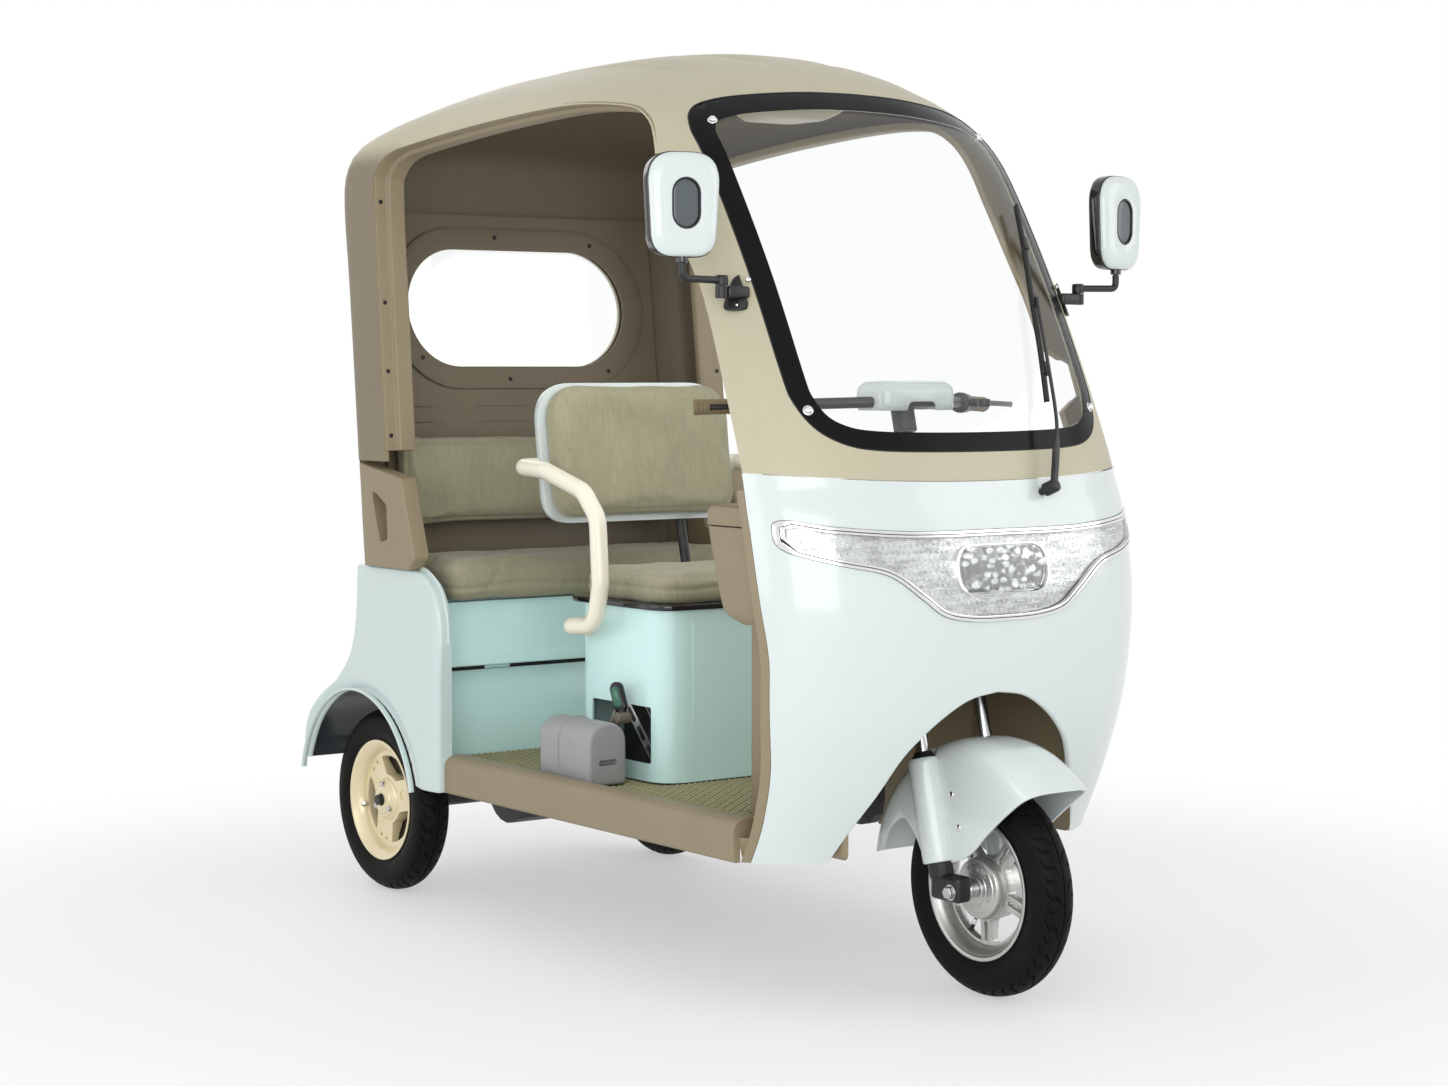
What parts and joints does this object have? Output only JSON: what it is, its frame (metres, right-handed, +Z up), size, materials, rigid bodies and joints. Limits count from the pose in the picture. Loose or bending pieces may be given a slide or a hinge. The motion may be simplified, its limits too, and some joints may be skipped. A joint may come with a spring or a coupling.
{
  "type": "electric passenger tricycle",
  "caption": "Roofed electric passenger tricycle with a driver's seat, a rear bench, a steered and sprung front wheel and a sprung, driven rear axle.",
  "frame": {"origin": "on the ground, under the middle of the vehicle's bounding box", "axes": "+Z up, the vehicle faces -Y, +X is the vehicle's left side"},
  "size_m": [1.2594, 2.1147, 1.876],
  "materials": {
    "mint_paint": "glossy paint",
    "tan_moulding": "satin",
    "dark_tan_moulding": "matt",
    "tan_mat": "matt",
    "seat_fabric": "woven",
    "black_plastic": "satin",
    "black_rubber": "matt",
    "tyre_rubber": "matt",
    "silver_alloy": "cast",
    "cream_alloy": "painted",
    "cream_paint": "glossy",
    "headlamp_chrome": "metallised",
    "clear_pane": "clear",
    "red_lens": "glossy",
    "black_steel": "satin",
    "black_alloy": "satin",
    "battery_case": "matt",
    "grey_plastic": "satin",
    "mirror_face": "polished"
  },
  "bodies": {
    "body": {"front_cowl": "mint_paint", "rear_body": "mint_paint", "bench_box": "mint_paint", "seat_box": "mint_paint", "backrest_shell": "mint_paint", "cab_shell": "tan_moulding", "floor_pan": "tan_moulding", "side_guard_right": "tan_moulding", "side_guard_left": "tan_moulding", "leg_shield": "dark_tan_moulding", "rear_wall": "dark_tan_moulding", "floor_mat": "tan_mat", "backrest_cushion": "seat_fabric", "bench_cushion": "seat_fabric", "bench_backrest": "seat_fabric", "mirror_bracket_right": "black_plastic", "mirror_bracket_left": "black_plastic", "armrest_right": "cream_paint", "armrest_left": "cream_paint", "headlamp_bezel": "headlamp_chrome", "headlamp_housing": "headlamp_chrome", "windshield": "clear_pane", "rear_window_pane": "clear_pane", "headlamp_lens": "clear_pane", "tail_lamp_right": "red_lens", "tail_lamp_left": "red_lens", "chassis_frame": "black_steel", "rear_spring_right": "black_steel", "rear_spring_left": "black_steel", "battery_pack": "battery_case", "parking_brake_housing": "grey_plastic"},
    "steering": {"steering_fork": "black_steel", "handlebar": "black_steel", "instrument_pod": "black_plastic"},
    "front_suspension": {"fork_sliders": "black_steel", "front_axle": "black_steel", "front_fender": "mint_paint"},
    "front_wheel": {"front_rim": "silver_alloy", "front_tyre": "tyre_rubber"},
    "rear_suspension": {"rear_axle": "black_steel"},
    "rear_wheel_right": {"rear_rim_right": "cream_alloy", "rear_tyre_right": "tyre_rubber"},
    "rear_wheel_left": {"rear_rim_left": "cream_alloy", "rear_tyre_left": "tyre_rubber"},
    "throttle": {"throttle_grip": "black_rubber"},
    "brake_lever_right": {"brake_lever_right": "black_alloy"},
    "brake_lever_left": {"brake_lever_left": "black_alloy"},
    "wiper": {"wiper_arm": "black_plastic", "wiper_blade": "black_rubber"},
    "mirror_arm_right": {"mirror_arm_right": "black_plastic"},
    "mirror_head_right": {"mirror_head_right": "mint_paint", "mirror_glass_right": "mirror_face"},
    "mirror_arm_left": {"mirror_arm_left": "black_plastic"},
    "mirror_head_left": {"mirror_head_left": "mint_paint", "mirror_glass_left": "mirror_face"},
    "driver_seat": {"seat_base": "black_plastic", "seat_cushion": "seat_fabric"},
    "storage_door": {"storage_door": "mint_paint"},
    "parking_brake": {"parking_brake_lever": "grey_plastic"},
    "brake_pedal": {"brake_pedal": "black_steel"}
  },
  "joints": [
    {"name": "steering_turn", "type": "hinge", "parent": "body", "child": "steering", "pos_m": [0, -0.70403, 0.625], "axis": [0, 0.2419, 0.9703], "range_deg": [-28, 28]},
    {"name": "front_fork_slide", "type": "slide", "parent": "steering", "child": "front_suspension", "axis": [0, 0.2419, 0.9703], "range_m": [0, 0.05], "stiffness_N_per_m": 35000, "springref_m": -0.04},
    {"name": "front_wheel_spin", "type": "hinge", "parent": "front_suspension", "child": "front_wheel", "pos_m": [0, -0.8475, 0.21], "axis": [1, 0, 0], "continuous": true},
    {"name": "rear_suspension_slide", "type": "slide", "parent": "body", "child": "rear_suspension", "axis": [0, 0, 1], "range_m": [0, 0.05], "stiffness_N_per_m": 60000, "springref_m": -0.04, "deforming": ["rear_spring_right", "rear_spring_left"]},
    {"name": "rear_wheel_right_spin", "type": "hinge", "parent": "rear_suspension", "child": "rear_wheel_right", "pos_m": [-0.385, 0.7925, 0.21], "axis": [1, 0, 0], "continuous": true},
    {"name": "rear_wheel_left_spin", "type": "hinge", "parent": "rear_suspension", "child": "rear_wheel_left", "pos_m": [0.385, 0.7925, 0.21], "axis": [1, 0, 0], "continuous": true},
    {"name": "throttle_twist", "type": "hinge", "parent": "steering", "child": "throttle", "pos_m": [-0.24, -0.495, 1.135], "axis": [-0.8065, 0.5905, -0.0288], "range_deg": [0, 70], "stiffness_Nm_per_rad": 0.25, "springref_deg": -17.19},
    {"name": "brake_lever_right_pull", "type": "hinge", "parent": "steering", "child": "brake_lever_right", "pos_m": [-0.24006, -0.55383, 1.136], "axis": [0, 0, -1], "range_deg": [0, 12], "stiffness_Nm_per_rad": 1, "springref_deg": -11.46},
    {"name": "brake_lever_left_pull", "type": "hinge", "parent": "steering", "child": "brake_lever_left", "pos_m": [0.24006, -0.55383, 1.136], "axis": [0, 0, 1], "range_deg": [0, 12], "stiffness_Nm_per_rad": 1, "springref_deg": -11.46},
    {"name": "wiper_sweep", "type": "hinge", "parent": "body", "child": "wiper", "pos_m": [0.13, -0.8433, 0.967], "axis": [0.3256, -0.8462, 0.4219], "range_deg": [0, 50]},
    {"name": "mirror_arm_right_fold", "type": "hinge", "parent": "body", "child": "mirror_arm_right", "pos_m": [-0.457, -0.5975, 1.35], "axis": [0, 0, -1], "range_deg": [-15, 60]},
    {"name": "mirror_arm_left_fold", "type": "hinge", "parent": "body", "child": "mirror_arm_left", "pos_m": [0.457, -0.5975, 1.35], "axis": [0, 0, 1], "range_deg": [-15, 60]},
    {"name": "mirror_head_right_swivel", "type": "hinge", "parent": "mirror_arm_right", "child": "mirror_head_right", "pos_m": [-0.555, -0.6075, 1.4], "axis": [0, 0, -1], "range_deg": [-20, 20]},
    {"name": "mirror_head_left_swivel", "type": "hinge", "parent": "mirror_arm_left", "child": "mirror_head_left", "pos_m": [0.555, -0.6075, 1.4], "axis": [0, 0, 1], "range_deg": [-20, 20]},
    {"name": "driver_seat_tilt", "type": "hinge", "parent": "body", "child": "driver_seat", "pos_m": [0, -0.1055, 0.702], "axis": [1, 0, 0], "range_deg": [0, 75]},
    {"name": "storage_door_drop", "type": "hinge", "parent": "body", "child": "storage_door", "pos_m": [0, 0.524, 0.5405], "axis": [1, 0, 0], "range_deg": [0, 80]},
    {"name": "parking_brake_pull", "type": "hinge", "parent": "body", "child": "parking_brake", "pos_m": [-0.27, 0.0045, 0.47], "axis": [-1, 0, 0], "range_deg": [0, 40]},
    {"name": "brake_pedal_press", "type": "hinge", "parent": "body", "child": "brake_pedal", "pos_m": [-0.13, -0.4355, 0.5], "axis": [-1, 0, 0], "range_deg": [0, 20], "stiffness_Nm_per_rad": 3, "springref_deg": -14.32}
  ]
}
